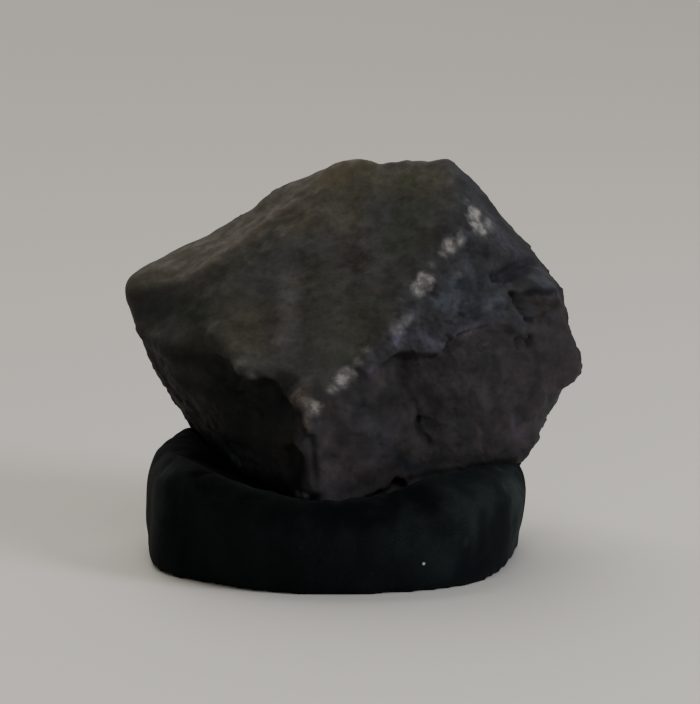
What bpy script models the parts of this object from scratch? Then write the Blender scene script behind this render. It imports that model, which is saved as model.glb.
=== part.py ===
"""A stony meteorite resting in a round, padded velvet display cushion.

Run with: blender --background --python part.py, or from Blender's text editor.

Frame: metres, +Z up. The origin is on the table, under the middle of the cushion, and the front faces -Y.
The tables hold millimetres and degrees. A compass of 0 faces the front, 90 the right (+X), 180 the back
and 270 the left, and a rise is an angle above the horizontal.
"""

import math

import bmesh
import bpy
import numpy as np
from mathutils import Vector, noise

MM = 0.001

# The meteorite is a broken block. Each facet is a plane, given by the way it faces, its distance from
# the middle of the block, and how high the rough relief on it is.
STONE_MIDDLE = (6, 16, 68)
EDGE_HARDNESS = 38
FACETS = (
    # name, compass, rise, reach, relief
    ("broad face", 343, 49, 32.7, 0.8),
    ("undercut, front", 320, -7, 58, 1.6),
    ("undercut, left", 300, -26, 59.5, 1.6),
    ("rough face, upper", 32, 25, 42, 1.1),
    ("rough face, lower", 31, -3, 46, 1.6),
    ("upper left strip", 291, 60.5, 45.1, 0.5),
    ("corner below the strip", 315, 36, 47.3, 0.5),
    ("right shoulder", 68, 42, 57.2, 0.7),
    ("right side, upper", 83, 33, 66.3, 1.0),
    ("right side, middle", 92, 4, 70.8, 1.2),
    ("right side, lower", 84, -28, 69, 1.2),
    ("left tip", 266, -9, 72.6, 0.6),
    ("left side, low", 283, -32, 60.6, 1.2),
    ("underside", 180, -86, 48, 0.8),
    ("underside, right", 90, -72, 54.5, 0.8),
    ("back", 177, 17, 42, 1.8),
    ("back, left", 227, 10, 64, 1.8),
    ("back, upper left", 207, 30, 56.2, 1.6),
    ("back, right", 150, 15, 47, 1.8),
    ("back, low", 180, -37, 40, 1.2),
    ("crown, back", 170, 53, 57, 1.4),
)
# The relief is fractal noise: its widest lumps in millimetres, how fast finer ones fade and shrink, and
# how many sizes there are
RELIEF_SIZE = 17
RELIEF_FADE = 0.9
RELIEF_SHRINK = 2.1
RELIEF_SIZES = 3

# Round hollows and swellings: name, place, radius, depth. A swelling has a negative depth.
HOLLOWS = (
    ("right elbow", (81, 8, 60), 16, -4),
    ("left shoulder", (-58, 33, 92), 19, -3.6),
    ("left corner", (-65, 22, 89), 17, -6.5),
    ("left belly", (-58, 0, 60), 17, -2),
    ("crown bump", (-6, 35, 121), 18, -2.5),
    ("swell behind the strip", (-20, 44, 113), 13, -1.6),
    ("crown dip", (14, 30, 124), 9, 1),
    ("arch under the broad face", (-21, -37, 60), 12, 7),
    ("undercut hollow, left", (-44, -19, 64), 18, 5),
    ("undercut hollow, middle", (-30, -28, 50), 19, 4),
    ("undercut hollow, low", (-42, -8, 42), 14, 2),
    ("gully beside the front edge", (-13, -40, 39), 8, 3.5),
    ("cavity on the right", (62, 1, 80), 8, 5),
    ("pit on the right", (63, -1, 70), 3.5, 3),
    ("hollow under the upper right step", (62, 8, 91), 11, 3),
    ("lump under the upper right step", (69, 14, 87), 8, -1.5),
    ("recess in the rough face", (44, -7, 81), 7, 1.5),
    ("shadow under the ledge", (22, -27, 69), 9, 2),
    ("step below the ledge", (14, -32, 63), 8, 1.5),
    ("crack", (28, -22, 43), 8, 2.5),
    ("notch below the elbow", (73, 4, 50), 9, 1.5),
    ("rear thumbprint, high", (22, 54, 96), 20, 4.5),
    ("rear thumbprint, upper left", (-14, 52, 90), 19, 4),
    ("rear thumbprint, middle", (-2, 60, 66), 20, 4.5),
    ("rear thumbprint, left", (-36, 50, 68), 21, 4.5),
    ("rear thumbprint, low", (28, 58, 58), 17, 3.5),
    ("rear thumbprint, right", (56, 44, 80), 18, 4),
    ("rear thumbprint, low left", (-28, 48, 46), 15, 3),
    ("left thumbprint", (-62, 26, 66), 13, 2.5),
)
# Corners knocked off along the ridge between the broad face and the rough face
CHIPS = (
    ("top chip", (46, 10, 108), 11, 2.2),
    ("second chip", (38, 0, 101), 8, 1.6),
    ("third chip", (28, -12, 90), 7.5, 1.8),
    ("fourth chip", (21, -21, 81), 7, 1.2),
    ("long chip", (3, -37, 65), 8.5, 1.8),
    ("nose chip", (-7, -43, 56), 9.5, 2.2),
    ("tongue chip", (-27, -30, 64), 6, 1),
)
# The broken edge of the layer on the rough face, seen from the front, with what is below it set back
LEDGE_EDGE = (
    (8, 66), (20, 72.5), (34, 70.5), (38.5, 76), (47, 78), (54, 78.5), (59, 74.5), (64, 77), (76, 82),
)
LEDGE_DROP = 3
LEDGE_SLOPE = 2.5
LEDGE_RECOVERY = 34
# The ledge fades in over this length at its left end, and where the rough face has 2/3 of the surface
LEDGE_LEFT_FADE = 12
LEDGE_FACE_GAIN = 1.5

STONE_SPHERE_CUTS = 6
STONE_TRIANGLES = 5400

# The cushion: foam under black velvet, turned, then pushed out of round and pressed by the stone
CUSHION_RADIUS = 62
CUSHION_DEPTH_SHARE = 0.95
CUSHION_PROFILE = (
    (0, 25), (16, 25.5), (30, 28.5), (40, 32), (47, 33.8), (52.5, 34.3), (56.5, 33.9), (59.3, 32.2),
    (60.9, 29), (61.5, 24), (61.8, 13), (62.6, 7), (62.9, 3), (62.8, 1), (62, 0), (0, 0),
)
CUSHION_STEPS = 56
# Compass and half-width in degrees, then how far the side stands out, the top leans out or the top
# rises there
CUSHION_BULGES = ((44, 32, 3.6), (300, 24, 3.6))
CUSHION_LEANS = ((85, 60, 4.5),)
CUSHION_RISES = ((250, 100, 3), (318, 30, 2.5), (356, 62, -5), (80, 45, -2))
# The side leans about half its height, and the top rises fully from this share of the radius outwards
LEAN_PIVOT = 0.5
RISE_FROM = 0.75
STONE_CLEARANCE = 0.45


def facing(compass, rise):
    """The unit vector that points to a compass direction, raised by an angle."""
    turn, tilt = math.radians(compass), math.radians(rise)
    return (math.sin(turn) * math.cos(tilt), -math.cos(turn) * math.cos(tilt), math.sin(tilt))


def facet_shares(directions):
    """How much each facet holds back each direction: the nearest plane counts most."""
    normals = np.array([facing(compass, rise) for _, compass, rise, _, _ in FACETS])
    reaches = np.array([reach for _, _, _, reach, _ in FACETS])
    return np.maximum(directions @ normals.T / reaches, 0) ** EDGE_HARDNESS


def bowl(distance, radius):
    """1 in the middle of a round hollow, and 0 from its rim outwards."""
    return np.maximum(0, 1 - (distance / radius) ** 2) ** 2


def smooth_step(value):
    value = np.clip(value, 0, 1)
    return value * value * (3 - 2 * value)


def ledge_depth(points, shares):
    """How far the rough face is set back below the broken edge of its upper layer."""
    edge_x, edge_z = np.array(LEDGE_EDGE).T
    below = np.interp(points[:, 0], edge_x, edge_z) - points[:, 2]
    step = smooth_step(below / LEDGE_SLOPE) * (1 - smooth_step(below / LEDGE_RECOVERY))
    ends = smooth_step((points[:, 0] - edge_x[0]) / LEDGE_LEFT_FADE)
    names = [name for name, *_ in FACETS]
    rough = shares[:, names.index("rough face, upper")] + shares[:, names.index("rough face, lower")]
    return LEDGE_DROP * step * ends * smooth_step(rough * LEDGE_FACE_GAIN)


def stone_points(directions):
    """Points of the meteorite's surface, in millimetres, out from its middle along unit directions."""
    shares = facet_shares(directions)
    total = shares.sum(axis=1)
    points = np.array(STONE_MIDDLE) + directions * (total ** (-1 / EDGE_HARDNESS))[:, None]
    shares = shares / total[:, None]

    relief = shares @ np.array([height for *_, height in FACETS])
    lumps = (RELIEF_FADE, RELIEF_SHRINK, RELIEF_SIZES)
    rough = np.array([noise.fractal(Vector(point) / RELIEF_SIZE, *lumps) for point in points])
    depth = ledge_depth(points, shares) - relief * rough
    for _, place, radius, sunk in HOLLOWS + CHIPS:
        depth += sunk * bowl(np.linalg.norm(points - np.array(place), axis=1), radius)
    return points - directions * depth[:, None]


def material(name, colour, roughness):
    made = bpy.data.materials.new(name)
    made.use_nodes = True
    shader = made.node_tree.nodes["Principled BSDF"]
    shader.inputs["Base Color"].default_value = (*colour, 1)
    shader.inputs["Roughness"].default_value = roughness
    return made


def add_object(name, mesh, collection):
    made = bpy.data.objects.new(name, mesh)
    collection.objects.link(made)
    return made


def settled_copy(source, name, collection):
    """A new object whose mesh is the source's with its modifiers applied."""
    bpy.context.view_layer.update()
    seen = source.evaluated_get(bpy.context.evaluated_depsgraph_get())
    return add_object(name, bpy.data.meshes.new_from_object(seen), collection)


def make_stone(collection):
    """A fine sphere pushed out to the stone's surface, then thinned where it is flat."""
    shape = bmesh.new()
    bmesh.ops.create_icosphere(shape, subdivisions=STONE_SPHERE_CUTS, radius=1)
    directions = np.array([corner.co.normalized() for corner in shape.verts])
    for corner, point in zip(shape.verts, stone_points(directions)):
        corner.co = point * MM
    mesh = bpy.data.meshes.new("meteorite")
    shape.to_mesh(mesh)
    shape.free()
    stone = add_object("meteorite", mesh, collection)
    thin = stone.modifiers.new("Thin the flat parts", "DECIMATE")
    thin.ratio = STONE_TRIANGLES / len(mesh.polygons)
    mesh.materials.append(material("Fusion crust", (0.045, 0.043, 0.042), 0.8))
    return stone


def around(compass, swells):
    """The sum of the swells at a compass direction, each falling smoothly to 0 at its half-width."""
    total = 0.0
    for middle, half_width, size in swells:
        apart = abs((compass - middle + 180) % 360 - 180)
        total += size * float(bowl(apart, half_width))
    return total


def make_cushion(stone, collection, cutters):
    """A turned pad, pushed out of round and leaning, with the stone's bed pressed into its top."""
    profile = bpy.data.meshes.new("Cushion profile")
    points = [(radius * MM, 0, height * MM) for radius, height in CUSHION_PROFILE]
    profile.from_pydata(points, [(i, i + 1) for i in range(len(points) - 1)], [])
    guide = add_object("Cushion profile", profile, cutters)
    turn = guide.modifiers.new("Turn", "SCREW")
    turn.steps = turn.render_steps = CUSHION_STEPS
    turn.use_merge_vertices = True
    turn.merge_threshold = 0.1 * MM
    cushion = settled_copy(guide, "velvet_cushion", collection)
    bpy.data.objects.remove(guide)

    top = max(height for _, height in CUSHION_PROFILE) * MM
    for corner in cushion.data.vertices:
        x, y, z = corner.co
        compass = math.degrees(math.atan2(x, -y))
        lean = smooth_step(z / top) - LEAN_PIVOT
        out = 1 + (around(compass, CUSHION_BULGES) + lean * around(compass, CUSHION_LEANS)) / CUSHION_RADIUS
        rim = smooth_step(math.hypot(x, y) / (CUSHION_RADIUS * MM * RISE_FROM))
        up = around(compass, CUSHION_RISES) * MM * rim
        corner.co = (x * out, y * out * CUSHION_DEPTH_SHARE, z + up * smooth_step(z / top))

    cutter = settled_copy(stone, "Stone's bed", cutters)
    swell = cutter.modifiers.new("Clearance", "DISPLACE")
    swell.strength = STONE_CLEARANCE * MM
    swell.mid_level = 0
    cutter.hide_render = True
    cutter.display_type = "WIRE"
    press = cushion.modifiers.new("Pressed by the stone", "BOOLEAN")
    press.operation = "DIFFERENCE"
    press.object = cutter
    cushion.data.materials.append(material("Black velvet", (0.006, 0.008, 0.010), 0.95))
    cushion.data.shade_smooth()
    return cushion


def main():
    for old in list(bpy.data.objects):
        bpy.data.objects.remove(old)
    parts = bpy.data.collections.new("Meteorite on its cushion")
    cutters = bpy.data.collections.new("Cutters")
    for collection in (parts, cutters):
        bpy.context.scene.collection.children.link(collection)
    stone = make_stone(parts)
    make_cushion(stone, parts, cutters)


main()
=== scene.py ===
# %% [markdown]
# # A meteorite on a velvet cushion
#
# The object is a stony meteorite, about as wide as a hand is long, resting in a round black velvet cushion.
# The solid model is loaded first and stays fixed: it holds the size and the main faces. This lesson gives
# both pieces their real surface, which is the melted crust, the rough broken side and the knocked corners
# of the stone, and the soft pile of the velvet.

# %% Load the solid model
import math

import bmesh
import bpy
import numpy as np
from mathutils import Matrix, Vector, noise


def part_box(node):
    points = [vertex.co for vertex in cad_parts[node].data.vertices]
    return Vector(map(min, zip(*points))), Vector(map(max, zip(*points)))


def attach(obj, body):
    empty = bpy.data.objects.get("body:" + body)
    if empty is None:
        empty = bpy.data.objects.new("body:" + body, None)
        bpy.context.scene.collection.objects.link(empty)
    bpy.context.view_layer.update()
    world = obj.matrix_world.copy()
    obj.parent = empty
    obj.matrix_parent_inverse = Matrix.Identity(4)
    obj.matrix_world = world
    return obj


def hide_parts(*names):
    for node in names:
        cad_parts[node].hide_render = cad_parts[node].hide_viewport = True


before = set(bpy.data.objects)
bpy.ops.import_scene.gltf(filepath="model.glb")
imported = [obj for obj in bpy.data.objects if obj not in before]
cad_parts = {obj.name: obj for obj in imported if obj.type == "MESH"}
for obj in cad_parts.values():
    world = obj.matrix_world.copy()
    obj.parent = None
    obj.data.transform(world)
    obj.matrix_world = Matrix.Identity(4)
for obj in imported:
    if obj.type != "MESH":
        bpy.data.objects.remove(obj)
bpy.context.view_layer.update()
MM = 0.001
for node_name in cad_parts:
    low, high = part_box(node_name)
    print(node_name, "is", [round((b - a) / MM, 1) for a, b in zip(low, high)], "mm")

# %% [markdown]
# ## The camera
#
# The specimen is seen from a little above the table, through a long lens from rather more than an arm's
# length. A long lens keeps the block's edges straight and its sides nearly parallel.

# %% Place the camera
CAMERA_PLACE = (0.0045, -1.1407, 0.3089)
CAMERA_LOOKS_DOWN = 12
LENS_LENGTH = 181
SENSOR_WIDTH = 36

lens = bpy.data.cameras.new("Camera")
lens.lens = LENS_LENGTH
lens.sensor_width = SENSOR_WIDTH
camera = bpy.data.objects.new("Camera", lens)
camera.location = CAMERA_PLACE
camera.rotation_euler = (math.radians(90 - CAMERA_LOOKS_DOWN), 0, 0)
bpy.context.scene.collection.objects.link(camera)
bpy.context.scene.camera = camera
print("camera at", CAMERA_PLACE)

# %% [markdown]
# ## The studio
#
# A dark matt stone needs broad lights, or its form is lost. Warm soft skylight comes from high behind on
# the left. It brightens the top faces and leaves the undercut side dark, which shows the block's shape. A
# cool panel on the right brings out the rough side, one over the object fills the top, and a weak one in
# front keeps the black velvet from going quite dead. The floor is a wide pale sheet of paper.

# %% Set the lights
STONE_HEART = (0.006, 0.01, 0.07)
SKY_FROM = (-0.22, 0.68, 0.75)
SKY_SPREAD = 60
SKY_STRENGTH = 2.25
SKY_COLOUR = (1, 0.955, 0.87)
ROOM_STRENGTH = 0.06
ROOM_COLOUR = (0.95, 0.96, 1, 1)
PANELS = (
    # name, place in metres, size, watts, colour
    ("Right panel", (1.1, -0.45, 0.75), 0.5, 11.5, (0.94, 0.95, 1)),
    ("Ceiling panel", (0.1, -0.3, 1.5), 0.8, 3.4, (1, 0.97, 0.92)),
    ("Front panel", (-0.3, -1.05, 0.2), 0.6, 1.3, (1, 0.97, 0.93)),
)


def aim(holder, place, target):
    """Put a light at a place and turn it to face a target."""
    holder.location = place
    holder.rotation_mode = "QUATERNION"
    holder.rotation_quaternion = (Vector(target) - Vector(place)).to_track_quat("-Z", "Y")
    bpy.context.scene.collection.objects.link(holder)


def add_panel(name, place, size, watts, colour):
    """Add a round panel that faces the stone."""
    panel = bpy.data.lights.new(name, "AREA")
    panel.shape = "DISK"
    panel.size = size
    panel.energy = watts
    panel.color = colour
    aim(bpy.data.objects.new(name, panel), place, STONE_HEART)


sky = bpy.data.lights.new("Soft skylight", "SUN")
sky.energy = SKY_STRENGTH
sky.angle = math.radians(SKY_SPREAD)
sky.color = SKY_COLOUR
aim(bpy.data.objects.new("Soft skylight", sky), SKY_FROM, (0, 0, 0))
for panel_settings in PANELS:
    add_panel(*panel_settings)

room = bpy.data.worlds.new("Soft room light")
bpy.context.scene.world = room
room.use_nodes = True
room_light = room.node_tree.nodes["Background"]
room_light.inputs["Color"].default_value = ROOM_COLOUR
room_light.inputs["Strength"].default_value = ROOM_STRENGTH
print(len(PANELS), "panels and one soft skylight")

# %% Lay the floor
FLOOR_SIZE = 14
PAPER_COLOUR = (0.62, 0.6, 0.56, 1)
PAPER_ROUGHNESS = 0.7

sheet = bmesh.new()
bmesh.ops.create_grid(sheet, x_segments=1, y_segments=1, size=FLOOR_SIZE / 2)
floor_mesh = bpy.data.meshes.new("Floor")
sheet.to_mesh(floor_mesh)
sheet.free()
floor = bpy.data.objects.new("Floor", floor_mesh)
bpy.context.scene.collection.objects.link(floor)

paper = bpy.data.materials.new("Pale studio paper")
paper.use_nodes = True
paper_shader = paper.node_tree.nodes["Principled BSDF"]
paper_shader.inputs["Base Color"].default_value = PAPER_COLOUR
paper_shader.inputs["Roughness"].default_value = PAPER_ROUGHNESS
floor_mesh.materials.append(paper)

# %% [markdown]
# ## The block
#
# A meteorite breaks up as it falls, so under its crust it is a block with flat faces. It could be sculpted
# by hand or cut from a ball with planes. Here each face is a plane, set by the way it faces and how far it
# lies from the middle, and a point on the surface is found by walking out from the middle until a plane
# stops it. Adding the planes up with a high power, instead of taking the nearest alone, rounds the edges
# between them, as melting did. The values are the solid model's own, so the fine surface lies on it.

# %% List the faces of the block
# Millimetres and degrees. Compass 0 faces the front, 90 the right, 180 the back and 270 the left.
STONE_MIDDLE = (6, 16, 68)
EDGE_HARDNESS = 38
FACETS = (
    # name, compass, rise, reach, relief
    ("broad face", 343, 49, 32.7, 0.8),
    ("undercut, front", 320, -7, 58, 1.6),
    ("undercut, left", 300, -26, 59.5, 1.6),
    ("rough face, upper", 32, 25, 42, 1.1),
    ("rough face, lower", 31, -3, 46, 1.6),
    ("upper left strip", 291, 60.5, 45.1, 0.5),
    ("corner below the strip", 315, 36, 47.3, 0.5),
    ("right shoulder", 68, 42, 57.2, 0.7),
    ("right side, upper", 83, 33, 66.3, 1.0),
    ("right side, middle", 92, 4, 70.8, 1.2),
    ("right side, lower", 84, -28, 69, 1.2),
    ("left tip", 266, -9, 72.6, 0.6),
    ("left side, low", 283, -32, 60.6, 1.2),
    ("underside", 180, -86, 48, 0.8),
    ("underside, right", 90, -72, 54.5, 0.8),
    ("back", 177, 17, 42, 1.8),
    ("back, left", 227, 10, 64, 1.8),
    ("back, upper left", 207, 30, 56.2, 1.6),
    ("back, right", 150, 15, 47, 1.8),
    ("back, low", 180, -37, 40, 1.2),
    ("crown, back", 170, 53, 57, 1.4),
)
FACET_NAMES = [name for name, *_ in FACETS]
RELIEF_SIZE = 17


def facing(compass, rise):
    """The unit vector that points to a compass direction, raised by an angle."""
    turn, tilt = math.radians(compass), math.radians(rise)
    return (math.sin(turn) * math.cos(tilt), -math.cos(turn) * math.cos(tilt), math.sin(tilt))


def facet_shares(directions):
    """How much each facet holds back each direction: the nearest plane counts most."""
    normals = np.array([facing(compass, rise) for _, compass, rise, _, _ in FACETS])
    reaches = np.array([reach for _, _, _, reach, _ in FACETS])
    return np.maximum(directions @ normals.T / reaches, 0) ** EDGE_HARDNESS


print(len(FACETS), "faces")

# %% [markdown]
# ## Hollows, swellings and chips
#
# The plain block is then worked like clay. A hollow is a soft round dent, a swelling is one with a negative
# depth, and the chips are the corners that were knocked off the ridge. Round dents are quick to place and
# easy to move, which a hand-sculpted mesh isn't.

# %% List the hollows and the chips
HOLLOWS = (
    # name, place, radius, depth
    ("right elbow", (81, 8, 60), 16, -4),
    ("left shoulder", (-58, 33, 92), 19, -3.6),
    ("left corner", (-65, 22, 89), 17, -6.5),
    ("left belly", (-58, 0, 60), 17, -2),
    ("crown bump", (-6, 35, 121), 18, -2.5),
    ("swell behind the strip", (-20, 44, 113), 13, -1.6),
    ("crown dip", (14, 30, 124), 9, 1),
    ("arch under the broad face", (-21, -37, 60), 12, 7),
    ("undercut hollow, left", (-44, -19, 64), 18, 5),
    ("undercut hollow, middle", (-30, -28, 50), 19, 4),
    ("undercut hollow, low", (-42, -8, 42), 14, 2),
    ("gully beside the front edge", (-13, -40, 39), 8, 3.5),
    ("cavity on the right", (62, 1, 80), 8, 5),
    ("pit on the right", (63, -1, 70), 3.5, 3),
    ("hollow under the upper right step", (62, 8, 91), 11, 3),
    ("lump under the upper right step", (69, 14, 87), 8, -1.5),
    ("recess in the rough face", (44, -7, 81), 7, 1.5),
    ("shadow under the ledge", (22, -27, 69), 9, 2),
    ("step below the ledge", (14, -32, 63), 8, 1.5),
    ("crack", (28, -22, 43), 8, 2.5),
    ("notch below the elbow", (73, 4, 50), 9, 1.5),
    ("rear thumbprint, high", (22, 54, 96), 20, 4.5),
    ("rear thumbprint, upper left", (-14, 52, 90), 19, 4),
    ("rear thumbprint, middle", (-2, 60, 66), 20, 4.5),
    ("rear thumbprint, left", (-36, 50, 68), 21, 4.5),
    ("rear thumbprint, low", (28, 58, 58), 17, 3.5),
    ("rear thumbprint, right", (56, 44, 80), 18, 4),
    ("rear thumbprint, low left", (-28, 48, 46), 15, 3),
    ("left thumbprint", (-62, 26, 66), 13, 2.5),
)
CHIPS = (
    ("top chip", (46, 10, 108), 11, 2.2),
    ("second chip", (38, 0, 101), 8, 1.6),
    ("third chip", (28, -12, 90), 7.5, 1.8),
    ("fourth chip", (21, -21, 81), 7, 1.2),
    ("long chip", (3, -37, 65), 8.5, 1.8),
    ("nose chip", (-7, -43, 56), 9.5, 2.2),
    ("tongue chip", (-27, -30, 64), 6, 1),
)


def bowl(distance, radius):
    """1 in the middle of a round hollow, and 0 from its rim outwards."""
    return np.maximum(0, 1 - (distance / radius) ** 2) ** 2


def away_from(points, place):
    return np.linalg.norm(points - np.array(place), axis=1)


print(len(HOLLOWS), "hollows and", len(CHIPS), "chips")

# %% [markdown]
# ## The ledge
#
# The upper layer of the rough side has split away along a ragged line. Everything below that line is set
# back, and the step fades out lower down.

# %% Set the lower part back
LEDGE_EDGE = (
    (8, 66), (20, 72.5), (34, 70.5), (38.5, 76), (47, 78), (54, 78.5), (59, 74.5), (64, 77), (76, 82),
)
LEDGE_DROP = 3
LEDGE_SLOPE = 2.5
LEDGE_RECOVERY = 34
LEDGE_START = 12
ROUGH_SIDE = ("rough face, upper", "rough face, lower")


def smooth_step(value):
    value = np.clip(value, 0, 1)
    return value * value * (3 - 2 * value)


def share_of(shares, names):
    """How far each point belongs to the named faces."""
    return sum(shares[:, FACET_NAMES.index(name)] for name in names)


def well_on(shares, names, firmness):
    """1 on the named faces, fading out across their edges, and faster where it is firmer."""
    return smooth_step(firmness * share_of(shares, names))


def below_ledge(points):
    """How far each point lies below the ledge's ragged edge, as seen from the front."""
    edge_x, edge_z = np.array(LEDGE_EDGE).T
    return np.interp(points[:, 0], edge_x, edge_z) - points[:, 2]


def ledge_depth(points, shares):
    below = below_ledge(points)
    step = smooth_step(below / LEDGE_SLOPE) * (1 - smooth_step(below / LEDGE_RECOVERY))
    start = smooth_step((points[:, 0] - LEDGE_EDGE[0][0]) / LEDGE_START)
    return LEDGE_DROP * step * start * well_on(shares, ROUGH_SIDE, 1.5)


# %% [markdown]
# ## From the planes to the surface
#
# Stone is uneven at every size, and fractal noise is the usual way to imitate that: each octave adds lumps
# about half as big as the last. The planes, the hollows, the chips, the ledge and this noise together give
# the plain surface.

# %% Put the plain surface together
OCTAVE_STEP = 2.1


def field(points, size, octaves=3, roughness=0.9):
    """Smooth noise from about -1 to 1, with lumps of the given size."""
    lumps = [noise.fractal(Vector(point) / size, roughness, OCTAVE_STEP, octaves) for point in points]
    return np.array(lumps)


def block_points(directions):
    """The block's surface along unit directions, and each facet's share there."""
    shares = facet_shares(directions)
    total = shares.sum(axis=1)
    points = np.array(STONE_MIDDLE) + directions * (total ** (-1 / EDGE_HARDNESS))[:, None]
    shares = shares / total[:, None]
    relief = shares @ np.array([height for *_, height in FACETS])
    depth = ledge_depth(points, shares) - relief * field(points, RELIEF_SIZE)
    for _, place, radius, sunk in HOLLOWS + CHIPS:
        depth += sunk * bowl(away_from(points, place), radius)
    return points - directions * depth[:, None], shares


in_front = block_points(np.array([facing(0, 0)]))[0][0]
print("in front of its middle the stone ends at", [round(float(number), 1) for number in in_front])

# %% [markdown]
# ## Small breaks and grain
#
# Up close each kind of face breaks in its own way. The crust on the broad face is smooth. The rough side
# and the back are built of small flat breaks, so there each cell of a Voronoi pattern tips its own way. The
# pattern is laid twice, coarse and fine, because stone breaks at every scale.

# %% Break the surface up
BREAKS = {
    # facet: height of the broad breaks, of the small ones and of the grain
    "broad face": (0.05, 0.0, 0.07),
    "upper left strip": (0.05, 0.0, 0.02),
    "corner below the strip": (0.1, 0.0, 0.07),
    "crown, back": (0.25, 0.06, 0.06),
    "left tip": (0.3, 0.05, 0.08),
    "right shoulder": (0.3, 0.08, 0.1),
    "rough face, upper": (1.15, 0.5, 0.2),
    "rough face, lower": (0.5, 0.08, 0.14),
    "right side, upper": (0.6, 0.2, 0.16),
    "undercut, front": (0.8, 0.16, 0.14),
}
OTHER_BREAKS = (0.8, 0.25, 0.18)
BROAD_BREAKS = ((15, 0.5), (8, 0.8))
SMALL_BREAKS = ((4.5, 1.0), (2.4, 0.5))
GRAIN_SIZE = 1.9
CELL_SHUFFLE = 7.3
CELL_STEP = 0.4
CELL_BEND = 0.9
CELL_BEND_SIZE = 6


def tipped_cells(points, size):
    """Each Voronoi cell tips its own way: small flat breaks, from about -1 to 1."""
    heights = np.empty(len(points))
    for i, point in enumerate(points):
        place = Vector(point) / size
        centre = noise.voronoi(place)[1][0]
        lean = noise.cell_vector(centre * CELL_SHUFFLE) * 2 - Vector((1, 1, 1))
        heights[i] = (place - centre).dot(lean) + CELL_STEP * lean.x
    return heights


def broken_depth(points, shares):
    """The breaks and the grain. The cells' straight edges are bent, so that no pattern shows."""
    heights = np.array([BREAKS.get(name, OTHER_BREAKS) for name in FACET_NAMES])
    broad, small, grain = (shares @ heights).T
    bends = [field(points + 50 * i, CELL_BEND_SIZE, 2) for i in range(3)]
    bent = points + CELL_BEND * np.stack(bends, axis=1)
    depth = grain * field(points, GRAIN_SIZE, 3, 0.7)
    for height, sizes in ((broad, BROAD_BREAKS), (small, SMALL_BREAKS)):
        for size, weight in sizes:
            depth += height * weight * tipped_cells(bent + 3 * size, size)
    return depth


# %% [markdown]
# ## Cracks, ridges and grooves
#
# A few cracks run across the rough side, and a sharp seam opens beside the cavity. Elsewhere melt has piled
# up in soft ridges: a raised lip follows the crest below the upper left strip, and others edge the ledge.
# Each is a short chain of points. A crack sinks along its chain, and a ridge swells like a cord under
# cloth. Noise makes both waver.

# %% Name the lines that are used twice
# The shading further down follows these lines again, so that it always lies in its own crack or ridge.
CREST = (
    (-66.9, 18.6, 83.3), (-62.1, 16.2, 84.8), (-57, 14.4, 86.1), (-49.8, 11.5, 88.4), (-45.2, 11.3, 91.5),
    (-39.3, 13.7, 95.4), (-32.1, 18.5, 99.9), (-25.2, 23.1, 104.5), (-18.9, 25.8, 108.5), (-14.5, 26.7, 111),
)
BELOW_CREST = (
    (-43.3, 4.2, 88.1), (-36.7, 6.7, 92.7), (-30.2, 11.2, 97.9), (-22, 16.5, 103.6), (-15.4, 19.7, 107.8),
)
SEAM = (
    (57.9, 4.7, 85.2), (59.7, 5.7, 84.1), (61.4, 5.8, 82.4), (62.4, 5.2, 80.1), (63.6, 4.5, 78.2),
    (64.4, 4.2, 76.8),
)
OVER_CAVITY = ((62.5, 7, 85), (66, 9.5, 84.8), (70.6, 12, 83.6))
PIT = ((63.9, 1.6, 69.5), (65, 2.2, 70.8))
LONG_CRACK = ((26.5, -22.5, 50), (26.9, -20.7, 46.2), (28.4, -20, 43.2), (30.9, -19.7, 40.5))
KNOB = ((11, -33, 66.5), (13, -32, 66))

# %% List the cracks
CRACKS = (
    # name, points, half width, depth
    ("seam by the cavity", SEAM, 1.6, 2.4),
    ("line over the cavity", OVER_CAVITY, 1.5, 1.6),
    ("groove under the shoulder",
     ((66, 19.5, 93), (61, 14, 93), (56, 8.5, 91.8), (52.2, 3.1, 91)), 2.8, 1.8),
    ("second groove there", ((64.3, 14.7, 91), (59.5, 10, 90.4), (55.6, 6.1, 89.4)), 1.6, 1.0),
    ("pit below the cavity", PIT, 2.2, 2.6),
    ("long crack, upper part", ((21.3, -26, 61.4), (24.5, -24.1, 57), (26.5, -23, 51)), 1.8, 0.5),
    ("long crack", LONG_CRACK, 1.1, 0.9),
    ("gap over the cushion",
     ((8.4, -34, 21), (12.6, -31, 22.4), (15.8, -29, 23.6), (20.6, -26.5, 26)), 4.6, 3.4),
    ("line in the recess", ((36, -11, 81), (41, -9, 79.8), (46, -5.5, 80.4)), 1.8, 1.1),
    ("line above the recess", ((43, -4, 91), (48, -1, 88.5), (52, 2, 88)), 1.6, 0.8),
    ("cut below the top chip", ((42.5, 2.6, 101.5), (46, 4, 99.6), (50, 6, 99)), 2.0, 1.1),
    ("line on the elbow", ((70, 5, 60), (76, 8, 55), (80, 12, 52)), 1.3, 0.8),
    ("crack in the undercut", ((-36, -24, 46), (-26, -31, 43), (-17, -37, 40)), 1.6, 1.2),
    ("crack on the left", ((-52, -8, 60), (-47, -12, 52), (-44, -8, 44)), 1.6, 1.0),
    ("crack at the back", ((40, 50, 84), (30, 58, 72), (12, 60, 66), (-4, 58, 52)), 1.8, 1.6),
    ("second crack at the back", ((-40, 44, 84), (-46, 42, 70), (-40, 46, 56)), 1.6, 1.3),
)

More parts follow.
